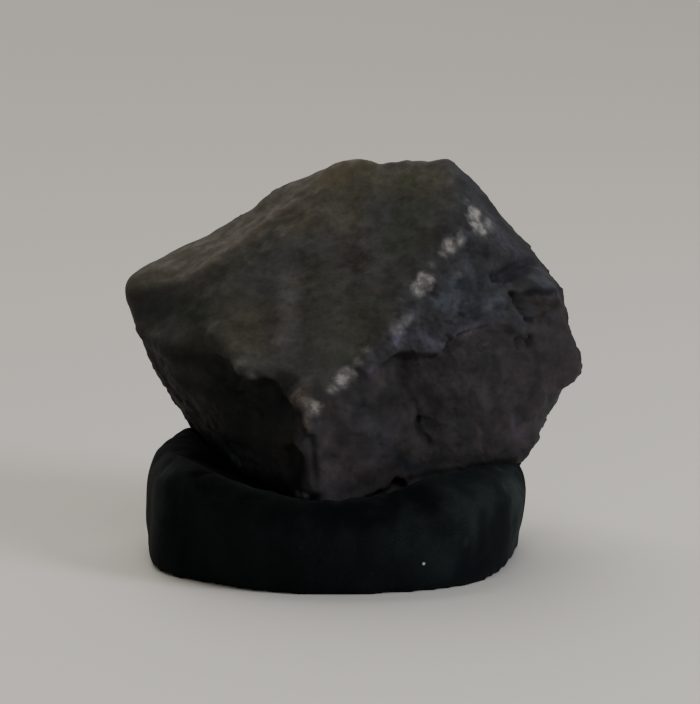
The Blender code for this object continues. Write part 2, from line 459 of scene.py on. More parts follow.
# %% List the ridges
RIDGES = (
    # name, points, half width, height, which is negative for a groove
    ("left peak of the crown", ((0, 33.7, 121.5), (3.5, 34, 122.7), (8, 33, 123.3)), 8, 1.6),
    ("dip of the crown", ((23, 27.5, 125.2), (29, 26.5, 125.5)), 8, -1.1),
    ("right peak of the crown", ((36.5, 26.5, 124.3), (40, 25.5, 123)), 6.5, 1.4),
    ("front edge", ((-10.8, -41.5, 50), (-10.4, -42, 44), (-9.5, -41, 38), (-9, -41, 31.5)), 5, 2.2),
    ("bank beside the front edge", ((-6, -42.5, 48), (-5.5, -42.5, 40), (-5, -41.5, 32)), 5, 0.9),
    ("crest below the strip", CREST, 4.2, 0.7),
    ("hollow below the crest", BELOW_CREST, 6, -0.7),
    ("lip of the tongue",
     ((-38.5, -13, 74), (-35.5, -17.5, 71), (-31.5, -22.5, 69), (-28.5, -26.5, 66.5), (-25, -28.6, 66)),
     6.5, 2.3),
    ("lip above the shoulder's groove", ((50, 6, 95.5), (57, 11.5, 98), (65, 17, 96.5)), 3.2, 0.9),
    ("bright ridge by the plate", ((18, -27, 75.5), (20.6, -22, 79.7), (24, -18.8, 82.3)), 2.3, 1.0),
    ("ledge lip, left",
     ((15.5, -30, 73.8), (20.6, -27, 73), (27, -22.5, 72.5), (33.5, -18.5, 72)), 2.6, 0.2),
    ("ledge lip, middle", ((37, -15, 74.5), (41, -12, 77), (47, -7, 77.5), (53.5, -3, 80)), 2.4, 0.7),
    ("tongue beside the seam",
     ((52.1, -0.8, 84.1), (54.7, -1.7, 80.2), (58.8, 1.6, 76.2), (60.5, 1.7, 73.5)), 2.8, 1.4),
    ("fold in the band", ((33, -11, 88), (38, -8, 85.5), (44, -5.5, 83.5), (50, -2.5, 85)), 2.6, 1.0),
    ("upper fold in the band", ((37, -5, 93.5), (44, -1, 92), (50, 3, 93.5)), 2.6, 0.9),
    ("brow over the cavity", ((60, 7, 86.5), (66, 10.5, 86.5), (72, 13, 84.5)), 3.0, 1.0),
    ("trough below the brow", ((61, 5.5, 83.5), (67, 8, 83.2), (72, 11, 81.5)), 3.0, -1.0),
    ("knob below the ledge", KNOB, 3.2, 0.9),
    ("blot below the ledge", ((21, -25, 65), (24, -23.6, 63.5), (29, -21, 57.5)), 4.0, -0.9),
    ("bank beside the long crack", ((33, -20, 56), (35.5, -18, 48), (37, -17.5, 41)), 4.5, 0.5),
    ("fold on the rough face", ((38, -16, 60), (45, -12.5, 52), (51, -9, 42)), 4.5, 0.8),
    ("lap in the undercut, high", ((-46, -10, 55.5), (-38, -17, 53), (-29, -25, 54)), 3.0, 0.7),
    ("lap in the undercut, middle", ((-43, -5, 42), (-36, -15, 44), (-27, -27, 45)), 2.8, 0.8),
    ("lap in the undercut, low", ((-40, -12, 36), (-33, -20, 37), (-25, -29, 37)), 2.4, 0.8),
)

# %% Sink the cracks and raise the ridges
CRACK_WAVER = 1.1
RIDGE_WAVER = 0.8
WAVER_SIZE = 5


def away_from_line(points, corners):
    """The distance from each point to a chain of straight lines."""
    nearest = np.full(len(points), np.inf)
    for start, end in zip(np.array(corners[:-1], float), np.array(corners[1:], float)):
        along = (points - start) @ (end - start) / np.sum((end - start) ** 2)
        foot = start + np.clip(along, 0, 1)[:, None] * (end - start)
        nearest = np.minimum(nearest, np.linalg.norm(points - foot, axis=1))
    return nearest


def across_line(points, corners, waver, width):
    """1 on a wavering line, and 0 from its half width outwards."""
    return bowl(np.maximum(0, away_from_line(points, corners) + waver), width)


def crack_depth(points):
    """The deepest crack at each point, so that crossing cracks don't add up."""
    waver = CRACK_WAVER * field(points, WAVER_SIZE, 3)
    depth = np.zeros(len(points))
    for _, corners, width, sunk in CRACKS:
        depth = np.maximum(depth, sunk * across_line(points, corners, waver, width))
    return depth


def ridge_height(points):
    waver = RIDGE_WAVER * field(points + 90, WAVER_SIZE, 2)
    return sum(height * across_line(points, corners, waver, width) for _, corners, width, height in RIDGES)


print(len(CRACKS), "cracks and", len(RIDGES), "ridges")

# %% [markdown]
# ## The torn lower edge of the broad face
#
# On the left the broad face ends in a ragged edge with a tongue that hangs over the dark hollow below it.
# As with the ledge, what lies below the edge is set back, here by a steeper and smaller step.

# %% Tear the lower edge
TORN_EDGE = (
    (-66, 71), (-60, 71.3), (-50.5, 71.2), (-46, 73), (-42.5, 74), (-39, 72.6), (-36, 69.8),
    (-32.5, 68.4), (-31, 65.6), (-27.4, 63.4), (-24.8, 64.3), (-22.5, 65.7), (-19, 62.7), (-15.4, 58.3),
    (-11.4, 55.5), (-9, 50),
)
TORN_DROP = 2.4
TORN_SLOPE = 1.4
TORN_RECOVERY = 30
TORN_RAGGED = 0.9
UNDERCUT_SIDE = ("undercut, front", "undercut, left")


def below_torn_edge(points):
    """How far each point lies below the torn edge, which noise makes ragged."""
    edge_x, edge_z = np.array(TORN_EDGE).T
    return np.interp(points[:, 0], edge_x, edge_z) - points[:, 2] + TORN_RAGGED * field(points, 5, 3)


def torn_depth(points, shares):
    below = below_torn_edge(points)
    step = smooth_step(below / TORN_SLOPE) * (1 - smooth_step(below / TORN_RECOVERY))
    return TORN_DROP * step * well_on(shares, UNDERCUT_SIDE, 2)


print("the edge hangs", TORN_DROP, "mm over the hollow")

# %% [markdown]
# ## Channels on the broad face
#
# While the crust was still melted, air pushed it back over the broad face in shallow channels. They run
# down the face a finger's width apart.

# %% Run the melt channels
CHANNEL_SPACING = 15
CHANNEL_DEPTH = 0.4
CHANNEL_BEND = 3
CHANNEL_BEND_SIZE = 40


def channel_depth(points, shares):
    """Waves across the broad face, bent a little so that no two channels are alike."""
    across = points[:, 0] + CHANNEL_BEND * field(points, CHANNEL_BEND_SIZE, 2)
    waves = np.sin(across * (2 * math.pi / CHANNEL_SPACING))
    return CHANNEL_DEPTH * waves * share_of(shares, ("broad face",))


# %% [markdown]
# ## Bare stone where the crust is gone
#
# Knocks along the ridge show the light grey inside of the meteorite, and at the nose of the block it is
# stained brown. Each mark is a ragged patch, and the patches are kept as numbers on the mesh's points, so
# the material follows the relief exactly without any picture.

# %% List the bare marks
BARE_MARKS = (
    # place, radius, strength, brown
    ((45.5, 13.8, 110), 3.6, 1.0, 0.0),
    ((47, 10.5, 106.5), 3.6, 1.0, 0.0),
    ((51, 15.5, 107), 3.4, 0.5, 0.0),
    ((43.5, 15, 114.5), 2.2, 0.35, 0.0),
    ((37.3, 1, 102), 3.0, 1.0, 0.05),
    ((40.5, 2.6, 103.3), 2.6, 0.75, 0.05),
    ((34.5, -2, 99.5), 2.0, 0.5, 0.1),
    ((31, -6, 96.5), 1.8, 0.4, 0.1),
    ((28.8, -9.4, 92.4), 3.2, 1.0, 0.05),
    ((26.6, -11.6, 89), 2.8, 0.85, 0.05),
    ((22, -19.5, 81.5), 2.8, 0.35, 0.1),
    ((19.8, -23.5, 78.5), 2.8, 0.45, 0.1),
    ((10, -31, 73.5), 2.4, 0.35, 0.1),
    ((7, -33, 70.5), 2.2, 0.4, 0.1),
    ((4.2, -34.6, 67), 2.8, 0.8, 0.05),
    ((1.9, -36.4, 65), 2.8, 0.8, 0.1),
    ((-0.9, -39, 62.7), 2.3, 0.6, 0.15),
    ((-7.2, -42.2, 57), 3.0, 1.0, 0.4),
    ((-12, -38, 60), 4.8, 0.55, 0.9),
    ((-10.5, -36.5, 63), 3.0, 0.4, 0.9),
    ((-9.5, -43, 53), 3.4, 0.4, 1.0),
    ((-30, -24, 67), 3.4, 0.3, 0.3),
    ((-26, -28, 65.4), 3.0, 0.3, 0.4),
    ((-12.6, -38, 27.4), 1.8, 0.7, 0.15),
    ((-9.4, -40.4, 27.6), 2.0, 0.8, 0.15),
)
BARE_REACH = 1.3
BARE_RAGGED = 0.45
BARE_RAGGED_SIZE = 3.2


def bare_and_brown(points):
    """How bare each point is of crust, and how brown the bare stone is there."""
    ragged = BARE_RAGGED * field(points, BARE_RAGGED_SIZE)
    bare = np.zeros(len(points))
    brown = np.zeros(len(points))
    for place, radius, strength, tone in BARE_MARKS:
        near = strength * np.clip(BARE_REACH - away_from(points, place) / radius + ragged, 0, 1)
        brown = np.where(near > bare, tone, brown)
        bare = np.maximum(bare, near)
    return smooth_step(bare), brown


print(len(BARE_MARKS), "bare marks")

# %% [markdown]
# ## Weathering and painted light
#
# The crust isn't one colour. It has olive, green, straw, brown, darker and paler patches, and brown rust in
# the cavity. Many patches are painted light and shade instead of the crust's own colour: painted shade in
# the cracks, the seam, the pit, the gap over the cushion, below the crest and under the arch, painted
# highlights on the crest, the ridges, the lumps, the ledge lip and the front edge, and painted light on the
# upper broad face, the crown, the right shoulder and the laps of the undercut. Each patch lies along a short
# chain of points and multiplies the colour below it, so that patches may overlap. They are brushed on one by
# one, as a painter glazes a model.

# %% List the patches on the crust
CRUST_PATCHES = (
    # name, points, half width, how much red, green and blue it leaves
    # Painted shade with a greenish tint: this corner faces away from the skylight and the right panel.
    ("green corner in painted shade", ((-61.8, 10.4, 76.8), (-56, 8, 79), (-51.6, 4.8, 81.3), (-44.7, -2.4, 81)), 8,
     (0.5, 0.57, 0.5)),
    # Painted shade in the hollow below the raised crest, and a painted highlight along the crest itself.
    ("painted shade below the crest", BELOW_CREST, 5, (0.62, 0.64, 0.57)),
    ("painted highlight on the crest", CREST[1::2], 2.2, (1.25, 1.2, 1.08)),
    ("pale band down the broad face", ((-16, 0, 92), (-15.5, -10, 84.3), (-17.5, -20, 74.5)), 4.2,
     (1.52, 1.46, 1.54)),
    ("brown blot", ((3, 3.5, 100), (8, -2, 97)), 8, (0.74, 0.65, 0.61)),
    # Painted light: the upper broad face, where it turns towards the skylight, is made paler and warmer.
    ("painted light on the upper broad face", ((-10, 16, 107), (-3, 17, 110.5), (4.5, 13, 108)), 9, (1.75, 1.58, 1.3)),
    ("small brown blot", ((-12, 5, 98), (-9, 0, 95)), 6, (0.75, 0.73, 0.64)),
    ("dark line beside it", ((-6, -4, 90), (-3, -12, 84)), 4, (0.76, 0.77, 0.69)),
    ("straw patch", ((-30, -11, 79.5), (-26, -20, 73)), 8, (1.14, 1.12, 0.96)),
    ("olive patch", ((25, 21, 120), (25, 9, 110.5), (21, 2, 103.5)), 8, (0.82, 0.92, 0.75)),
    ("green rim", ((12, -15, 86), (6, -27, 76), (0, -33, 70)), 4, (0.98, 1.1, 1.02)),
    ("dark along the ridge",
     ((36, 5, 106), (28, -1, 100), (18, -9, 92.5), (14.2, -19, 84), (13, -28, 76)), 5.4, (0.6, 0.62, 0.62)),
    # Painted light: the crown, which turns towards the skylight, is made paler and warmer.
    ("painted light on the crown", ((-2, 29, 118.5), (12, 27, 121), (34, 21, 122)), 9, (1.6, 1.55, 1.3)),
)

# %% List the patches above the ledge
BAND_PATCHES = (
    # Painted cool light from the right panel on the shoulder and the plate, and a painted highlight on the
    # ridge by the plate.
    ("painted cool light on the shoulder", ((54, 18, 107), (58, 15, 101), (64, 17, 95.5)), 8, (1.35, 1.28, 1.48)),
    ("painted cool light on the plate", ((19, -25.5, 75.5), (27, -21.3, 75.5), (33.5, -18.5, 73.5)), 4.4, (1.4, 1.32, 1.55)),
    ("bright ridge", ((18.3, -26.5, 76), (20.6, -22, 79.7), (24, -18.8, 82.3)), 2.6, (1.6, 1.55, 1.7)),
    ("blue steel in the band", ((37, -9, 85.7), (45, -3, 87.8), (50, -3.6, 82)), 8, (1.06, 1.14, 1.24)),
    # Painted highlights on the up-facing lumps of the band and along the ledge's edge.
    ("painted highlights on lumps in the band", ((33.8, -7.3, 92.7), (39, -4.2, 93.1)), 4, (1.5, 1.5, 1.5)),
    ("more painted highlights on lumps", ((33.8, -11, 86.1), (38.7, -9, 84)), 3, (1.4, 1.42, 1.45)),
    ("painted highlight above the ledge", ((43, -8, 80), (50, -3, 82)), 2.6, (1.5, 1.5, 1.55)),
    ("dark teal blot", ((41, -4.5, 89.5), (44, -3.5, 89)), 3, (0.5, 0.56, 0.58)),
    # Painted bluish highlight on the brow over the cavity.
    ("painted bluish highlight over the cavity", ((65.8, 11.6, 87.7), (70.2, 13.6, 86.7)), 3.6, (1.35, 1.45, 1.65)),
    ("lit foot of the ledge", ((37.5, -14, 74.4), (42, -10, 75.4), (48, -5.5, 76.6), (54, -3, 76.5)), 2.2,
     (1.8, 1.7, 1.75)),
    # Painted highlights on the ledge lip and on the raised tongue beside the seam.
    ("painted highlight on the ledge lip", ((37, -14.5, 75), (47, -7, 77.5), (53.5, -3, 80)), 3, (1.4, 1.36, 1.5)),
    ("painted highlight on the tongue", ((53.5, 0, 84.5), (57.5, 2.4, 78), (60, 1.6, 74.5)), 2.8, (1.5, 1.42, 1.6)),
    ("shade below the top chip", ((43.5, 3, 101.5), (49, 5, 99.5)), 4, (0.6, 0.6, 0.66)),
    ("shade in the groove", ((52.2, 3.1, 91), (59.1, 11.7, 92.7), (66.2, 20.5, 92.7)), 2.8,
     (0.45, 0.4, 0.52)),
    ("second shade there", ((55.6, 6.1, 89.4), (64.3, 14.7, 91)), 1.8, (0.5, 0.46, 0.56)),
    # Painted shade in the seam and in the line over the cavity.
    ("painted shade in the seam", SEAM, 1.8, (0.03, 0.03, 0.04)),
    ("painted shade along the line over the cavity", OVER_CAVITY, 1.6, (0.4, 0.34, 0.42)),
)

# %% List the patches below the ledge
BELOW_LEDGE_PATCHES = (
    # Painted shade in the pit and along the long crack.
    ("painted shade in the pit", PIT, 2.1, (0.04, 0.04, 0.05)),
    ("soft painted shade at the start of the crack", ((20.5, -26.5, 63), (24.5, -24.1, 57)), 3.6, (0.66, 0.66, 0.68)),
    ("painted shade in the long crack", LONG_CRACK, 2.3, (0.26, 0.26, 0.28)),
    # Rust, made darker by painted shade under the brow.
    ("rust and painted shade in the cavity", ((65.5, 7.5, 82.5), (68, 7.5, 80), (71.5, 10, 80.5)), 5, (0.56, 0.41, 0.33)),
    ("shade in the recess", ((38, -11, 80.4), (45.5, -6, 80.1)), 1.8, (0.5, 0.52, 0.6)),
    ("shade below the ledge", ((14, -30, 71.5), (20, -23, 69), (34, -17, 67)), 4, (0.6, 0.57, 0.6)),
    # Painted highlight on the knob.
    ("painted highlight on the knob", KNOB, 3, (1.6, 1.5, 1.7)),
    ("dark blots", ((22, -25, 64.5), (30, -20.5, 56.5)), 4.6, (0.6, 0.53, 0.55)),
    ("dark band below them", ((9, -34.5, 55), (19, -28, 55), (33.7, -18.8, 55.8), (43.7, -13.7, 54)), 4.6,
     (0.62, 0.6, 0.6)),
    ("slate block", ((8, -36, 56), (16, -30, 50), (14, -31, 42)), 8, (0.95, 1.04, 1.14)),
    ("pale streak", ((43.5, -14, 50.5), (51, -9, 39)), 4, (1.22, 1.15, 1.22)),
    ("lavender fleck", ((59.5, -4, 42), (60.5, -3.6, 39.5)), 3.6, (1.5, 1.42, 1.7)),
    ("pale elbow", ((79, 8, 60), (68.5, 1.5, 51.5), (65.5, 0.5, 43)), 4, (1.35, 1.26, 1.36)),
    # Painted shade in the low hollow, and painted shadow in the gap and along the line where the stone meets
    # the cushion.
    ("painted shade in the low hollow", ((21.3, -26.1, 36.2), (25.6, -23.8, 33), (29.6, -21, 30.3)), 4, (0.4, 0.55, 0.56)),
    ("painted shadow in the gap over the cushion",
     ((9, -33.8, 22), (12.6, -31, 23.4), (15.8, -29, 24.6), (20.6, -26.5, 27.2)), 3.8, (0.07, 0.07, 0.09)),
    ("painted shadow line over the cushion",
     ((24, -24.8, 30.2), (37.2, -16.7, 30.6), (47.2, -10.4, 31), (59, -3.4, 31)), 1.3, (0.1, 0.1, 0.12)),
    # Painted light on the foot, with a faint lavender tint, and a painted highlight on the front edge.
    ("lavender foot in painted light", ((-7, -42.6, 47), (-7.5, -43, 40), (-3, -41, 34), (8, -36, 36)), 7,
     (1.6, 1.55, 1.65)),
    ("painted highlight on the front edge", ((-10.8, -41.5, 49), (-10.2, -42, 43), (-9.2, -41, 37), (-8.8, -41, 31.5)), 3.4,
     (2.5, 2.3, 2.5)),
)

# %% List the patches on the undercut side
UNDERCUT_PATCHES = (
    # Painted shadow beside the front edge.
    ("painted shadow beside the front edge", ((-15.4, -37, 43), (-14.2, -38, 33)), 2.8, (0.35, 0.36, 0.38)),
    ("brown by the front edge", ((-15, -39.5, 46), (-18, -35, 37)), 4, (1.3, 1.15, 1.0)),
    # Painted shade under the arch.
    ("painted shade under the arch", ((-31, -22, 62), (-24.5, -28, 60)), 6, (0.65, 0.75, 0.76)),
    ("green grey left face", ((-62, 2, 68), (-56.5, -3.5, 61)), 7, (2.1, 2.15, 1.95)),
    ("scuffs on the left", ((-49.5, -9, 60.7), (-44.5, -11.4, 57.9), (-44.6, -4, 46.5)), 4.4,
     (1.8, 1.8, 1.7)),
    # Painted light on the laps low in the undercut, where the cushion keeps the lamps' light out; the last
    # one is bluish.
    ("painted light on the lap", ((-43, -2, 41), (-38, -6, 37), (-35, -9.5, 34.5), (-31, -15, 33)), 5, (3.2, 3.2, 3.1)),
    ("painted light on the low lap", ((-40, 8, 30), (-35, -1, 29), (-28, -20, 31)), 6, (2.2, 2.3, 2.5)),
    ("painted bluish light on the lap", ((-35, -9.7, 34), (-28, -25, 35.5), (-21.3, -31.6, 35)), 4.6, (1.7, 1.85, 2.0)),
)
WEATHERING_AND_PAINTED_LIGHT = CRUST_PATCHES + BAND_PATCHES + BELOW_LEDGE_PATCHES + UNDERCUT_PATCHES

# %% Glaze the patches on
PATCH_REACH = 1.15
PATCH_RAGGED = 0.35
PATCH_RAGGED_SIZE = 6


def tints_and_painted_light(points, patches):
    """How much red, green and blue the patches leave at each point."""
    ragged = PATCH_RAGGED * field(points + 30, PATCH_RAGGED_SIZE, 4, 0.8)
    tint = np.ones((len(points), 3))
    for _, corners, width, left in patches:
        share = smooth_step(PATCH_REACH - away_from_line(points, corners) / width + ragged)
        tint *= 1 + share[:, None] * (np.array(left) - 1)
    return tint


print(len(WEATHERING_AND_PAINTED_LIGHT), "weathered patches")

# %% [markdown]
# ## The finished surface
#
# The fine relief is added to the block in one function, so the stone's mesh and the bed in the cushion both
# come from it and always fit each other.

# %% Add the fine relief
BARE_ROUGHNESS = 0.4
BARE_GRAIN_SIZE = 1.5


def stone_surface(directions):
    """The finished surface along unit directions, the plain one under it, and what the material needs."""
    points, shares = block_points(directions)
    bare, brown = bare_and_brown(points)
    depth = broken_depth(points, shares) + crack_depth(points) + channel_depth(points, shares)
    depth += torn_depth(points, shares)
    depth += BARE_ROUGHNESS * bare * field(points, BARE_GRAIN_SIZE, 3, 0.5) - ridge_height(points)
    return points - directions * depth[:, None], points, shares, bare, brown


# %% [markdown]
# ## The stone's mesh
#
# A cube cut into a fine grid and blown up to a ball gives nearly even squares all round, with no poles
# where they would pinch. Every point of that ball is a direction, and the function above turns it into a
# place on the stone.

# %% Build the stone
GRID_CUTS = 127
CRUSTED_SIDES = ("broad face", "upper left strip", "corner below the strip", "left tip")
LEDGE_FADE = 3


def ball_directions(shape):
    """Unit directions to a gridded cube's points, spread evenly over the ball."""
    cube = 2 * np.array([corner.co for corner in shape.verts])
    spread = np.tan(cube * (math.pi / 4))
    return spread / np.linalg.norm(spread, axis=1)[:, None]


def keep_on_points(mesh, layer, columns):
    """Store three numbers a point under a name, for the material to read."""
    numbers = np.stack(list(columns) + [np.ones(len(mesh.vertices))], axis=1)
    kept = mesh.color_attributes.new(layer, "FLOAT_COLOR", "POINT")
    kept.data.foreach_set("color", numbers.astype(np.float32).ravel())


def stone_kinds(plain, shares):
    """How far each point belongs to the undercut side, to the lower rough side and to the lit strip."""
    below = below_torn_edge(plain) / TORN_SLOPE
    torn = smooth_step(below) * well_on(shares, UNDERCUT_SIDE, 3)
    under = share_of(shares, UNDERCUT_SIDE + ("left side, low",)) * smooth_step(below + 1)
    lower = share_of(shares, ROUGH_SIDE + ("right side, middle",))
    lower = lower * smooth_step(below_ledge(plain) / LEDGE_FADE)
    strip = share_of(shares, ("upper left strip", "crown, back"))
    return np.maximum(under, torn), lower, strip


def build_stone():
    shape = bmesh.new()
    bmesh.ops.create_cube(shape, size=1)
    bmesh.ops.subdivide_edges(shape, edges=shape.edges[:], cuts=GRID_CUTS, use_grid_fill=True)
    points, plain, shares, bare, brown = stone_surface(ball_directions(shape))
    for corner, point in zip(shape.verts, points):
        corner.co = point * MM
    mesh = bpy.data.meshes.new("Meteorite_surface")
    shape.to_mesh(mesh)
    shape.free()
    mesh.shade_smooth()
    keep_on_points(mesh, "marks", (bare, brown, 1 - share_of(shares, CRUSTED_SIDES)))
    keep_on_points(mesh, "kinds", stone_kinds(plain, shares))
    keep_on_points(mesh, "weather_and_painted_light", tints_and_painted_light(plain, WEATHERING_AND_PAINTED_LIGHT).T)
    block = bpy.data.objects.new("Meteorite_surface", mesh)
    bpy.context.scene.collection.objects.link(block)
    return block


stone = build_stone()
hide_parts("meteorite")
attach(stone, "root")
print("stone:", len(stone.data.vertices), "points,", 2 * len(stone.data.polygons), "triangles")

# %% [markdown]
# ## A short way to write materials
#
# Shader nodes are joined in a tree. These helpers add a node and join it in one line each, so that the
# materials below read like a recipe.

# %% Helpers for materials
class Recipe:
    """A new material, with short ways to add shader nodes and join them."""

    def __init__(self, name):
        self.material = bpy.data.materials.new(name)
        self.material.use_nodes = True
        self.tree = self.material.node_tree
        self.shader = self.tree.nodes["Principled BSDF"]
        self.place = self.add("ShaderNodeTexCoord").outputs["Object"]

    def add(self, kind, **settings):
        node = self.tree.nodes.new(kind)
        for key, value in settings.items():
            setattr(node, key, value)
        return node

    def feed(self, socket, value):
        """Join an output to a socket, or set the socket to a number or colour."""
        if isinstance(value, bpy.types.NodeSocket):
            self.tree.links.new(value, socket)
        elif isinstance(value, tuple):
            socket.default_value = (*value, 1)
        else:
            socket.default_value = value

    def noise(self, size, detail=4, roughness=0.5, stretch=(1, 1, 1)):
        """Cloudy noise with lumps of a size in millimetres."""
        mapping = self.add("ShaderNodeMapping")
        mapping.inputs["Scale"].default_value = [axis / (size * MM) for axis in stretch]
        self.feed(mapping.inputs["Vector"], self.place)
        pattern = self.add("ShaderNodeTexNoise")
        pattern.inputs["Scale"].default_value = 1
        pattern.inputs["Detail"].default_value = detail
        pattern.inputs["Roughness"].default_value = roughness
        self.feed(pattern.inputs["Vector"], mapping.outputs["Vector"])
        return pattern.outputs["Fac"]

    def between(self, value, low, high, out_low=0.0, out_high=1.0):
        """Turn a value that runs from low to high into one from out_low to out_high."""
        node = self.add("ShaderNodeMapRange", interpolation_type="SMOOTHSTEP")
        self.feed(node.inputs["Value"], value)
        node.inputs["From Min"].default_value = low
        node.inputs["From Max"].default_value = high
        node.inputs["To Min"].default_value = out_low
        node.inputs["To Max"].default_value = out_high
        return node.outputs["Result"]

    def times(self, a, b):
        """Two numbers multiplied."""
        node = self.add("ShaderNodeMath", operation="MULTIPLY")
        self.feed(node.inputs[0], a)
        self.feed(node.inputs[1], b)
        return node.outputs[0]

    def tint(self, colour, by):
        """A colour multiplied by another."""
        node = self.add("ShaderNodeVectorMath", operation="MULTIPLY")
        self.feed(node.inputs[0], colour)
        self.feed(node.inputs[1], by)
        return node.outputs[0]

    def mix(self, share, a, b):
        """Colour a where the share is 0, and colour b where it is 1."""
        node = self.add("ShaderNodeMix", data_type="RGBA")
        # The node has sockets for every kind of value under the same names, so the colours go by number.
        self.feed(node.inputs[0], share)
        self.feed(node.inputs[6], a)
        self.feed(node.inputs[7], b)
        return node.outputs[2]

    def kept(self, layer):
        """The three numbers kept on the mesh's points under a name."""
        attribute = self.add("ShaderNodeAttribute", attribute_name=layer)
        split = self.add("ShaderNodeSeparateColor")
        self.feed(split.inputs["Color"], attribute.outputs["Color"])
        return split.outputs[0], split.outputs[1], split.outputs[2]

    def bump(self, height, distance, strength, under=None):
        """A bump whose height is a distance in millimetres, over another if one is given."""
        node = self.add("ShaderNodeBump")
        node.inputs["Strength"].default_value = strength
        node.inputs["Distance"].default_value = distance * MM
        self.feed(node.inputs["Height"], height)
        if under is not None:
            self.feed(node.inputs["Normal"], under)
        return node.outputs["Normal"]


# %% [markdown]
# ## The stone's finish
#
# Fusion crust is the melted skin of the stone: nearly black, matt, a little olive where it has weathered.
# Where the block broke late in its fall the skin is thinner, bluish above the ledge and plum brown below
# it. The undercut side is painted the blackest, partly for its blacker crust and partly as painted shade,
# since it faces down and away from the lights. The material mixes these tones by the numbers on the
# points, breaks them up with noise of several sizes, and lays the bare grey stone of the chips on top.

# %% Mix the crust and the bare stone
OLIVE = (0.037, 0.035, 0.027)
ASH = (0.036, 0.036, 0.034)
SOOT_AND_PAINTED_SHADE = (0.01, 0.0102, 0.0108)
SAND = (0.0445, 0.035, 0.021)
SLATE = (0.037, 0.038, 0.043)
PLUM = (0.034, 0.028, 0.0295)
CHARCOAL = (0.017, 0.0162, 0.017)
BARE_LIGHT = (0.26, 0.25, 0.235)
BARE_SHADE = (0.12, 0.115, 0.108)
STAIN_LIGHT = (0.17, 0.13, 0.1)
STAIN_SHADE = (0.055, 0.042, 0.034)


def crusted_stone():
    mix = Recipe("Fusion crust and bare stone")
    bare, brown, broken = mix.kept("marks")
    under, lower, strip = mix.kept("kinds")
    weather_and_painted_light = mix.add("ShaderNodeAttribute", attribute_name="weather_and_painted_light").outputs["Color"]
    clouds = mix.noise(24, 3)
    mottle = mix.noise(4, 5, 0.62)
    flecks = mix.noise(1.6, 3, 0.6)
    grain = mix.noise(0.6, 4, 0.65)

    melted = mix.mix(mix.between(clouds, 0.4, 0.62), ASH, OLIVE)
    melted = mix.mix(mix.times(strip, 0.8), melted, SAND)
    calm = mix.between(strip, 0, 1, 1, 0.3)
    melted = mix.mix(mix.times(calm, mix.between(mottle, 0.42, 0.7, 0, 0.24)), melted, SOOT_AND_PAINTED_SHADE)
    blots = mix.noise(9, 4, 0.55)
    rough = mix.mix(lower, SLATE, PLUM)
    rough = mix.mix(mix.between(blots, 0.42, 0.58, 0, 0.75), rough, CHARCOAL)
    rough = mix.mix(mix.between(mottle, 0.4, 0.68, 0, 0.35), rough, CHARCOAL)
    skin = mix.mix(broken, melted, rough)
    # Painted shade: the undercut side is darkened almost to black, partly for its blacker crust.
    skin = mix.mix(mix.times(under, 0.9), skin, SOOT_AND_PAINTED_SHADE)
    # The patches' tints and their painted light and shade multiply the colour here.
    skin = mix.tint(skin, weather_and_painted_light)
    skin = mix.mix(mix.times(calm, mix.between(flecks, 0.35, 0.7, 0, 0.24)), skin, SOOT_AND_PAINTED_SHADE)

    speckle = mix.between(mix.noise(2.6, 4, 0.6), 0.38, 0.62)
    inside = mix.mix(speckle, BARE_SHADE, BARE_LIGHT)
    stained = mix.mix(speckle, STAIN_SHADE, STAIN_LIGHT)
    inside = mix.mix(brown, inside, stained)
    mix.feed(mix.shader.inputs["Base Color"], mix.mix(bare, skin, inside))
    mix.feed(mix.shader.inputs["Roughness"], mix.between(mottle, 0.3, 0.7, 0.65, 0.88))
    mix.shader.inputs["Specular IOR Level"].default_value = 0.22
    relief = mix.bump(grain, 0.15, 0.8)
    mix.feed(mix.shader.inputs["Normal"], mix.bump(mix.times(mottle, calm), 0.4, 0.3, relief))
    return mix.material


stone.data.materials.append(crusted_stone())

# %% [markdown]
# ## The cushion's form
#
# The cushion is foam under black velvet: a round pad, a little out of round, that gives way under the
# stone. Its side view is drawn once and turned about the middle with a Screw modifier, then pushed out of
# round, leaned and lifted by compass direction, as the solid model's is.

# %% Turn the cushion
CUSHION_RADIUS = 62
CUSHION_DEPTH_SHARE = 0.95
CUSHION_PROFILE = (
    (0, 25), (16, 25.5), (30, 28.5), (40, 32), (47, 33.8), (52.5, 34.3), (56.5, 33.9), (59.3, 32.2),
    (60.9, 29), (61.5, 24), (61.8, 13), (62.6, 7), (62.9, 3), (62.8, 1), (62, 0), (0, 0),
)
CUSHION_STEPS = 96
AXIS_WELD = 0.05
CUSHION_BULGES = ((44, 32, 3.6), (300, 24, 3.6))
CUSHION_LEANS = ((85, 60, 4.5),)
CUSHION_RISES = ((250, 100, 3), (318, 30, 2.5), (356, 62, -5), (80, 45, -2))
RIM_START = 0.75


def compass_of(points):
    return np.degrees(np.arctan2(points[:, 0], -points[:, 1])) % 360


def turn_between(compass, middle):
    """The angle from a compass direction, from -180 to 180."""
    return (compass - middle + 180) % 360 - 180


def around(compass, places):
    """The sum of soft pushes, each centred on a compass direction and fading over a width."""
    return sum(push * bowl(turn_between(compass, middle), width) for middle, width, push in places)


def out_of_round(points):
    """Push a round cushion's points out of round, lean its side and lift its rim."""
    compass = compass_of(points)
    top = max(height for _, height in CUSHION_PROFILE)
    share = smooth_step(points[:, 2] / top)
    push = around(compass, CUSHION_BULGES) + (share - 0.5) * around(compass, CUSHION_LEANS)
    out = 1 + push / CUSHION_RADIUS
    rim = smooth_step(np.hypot(points[:, 0], points[:, 1]) / (RIM_START * CUSHION_RADIUS))
    height = points[:, 2] + around(compass, CUSHION_RISES) * rim * share
    return np.stack([points[:, 0] * out, points[:, 1] * out * CUSHION_DEPTH_SHARE, height], axis=1)


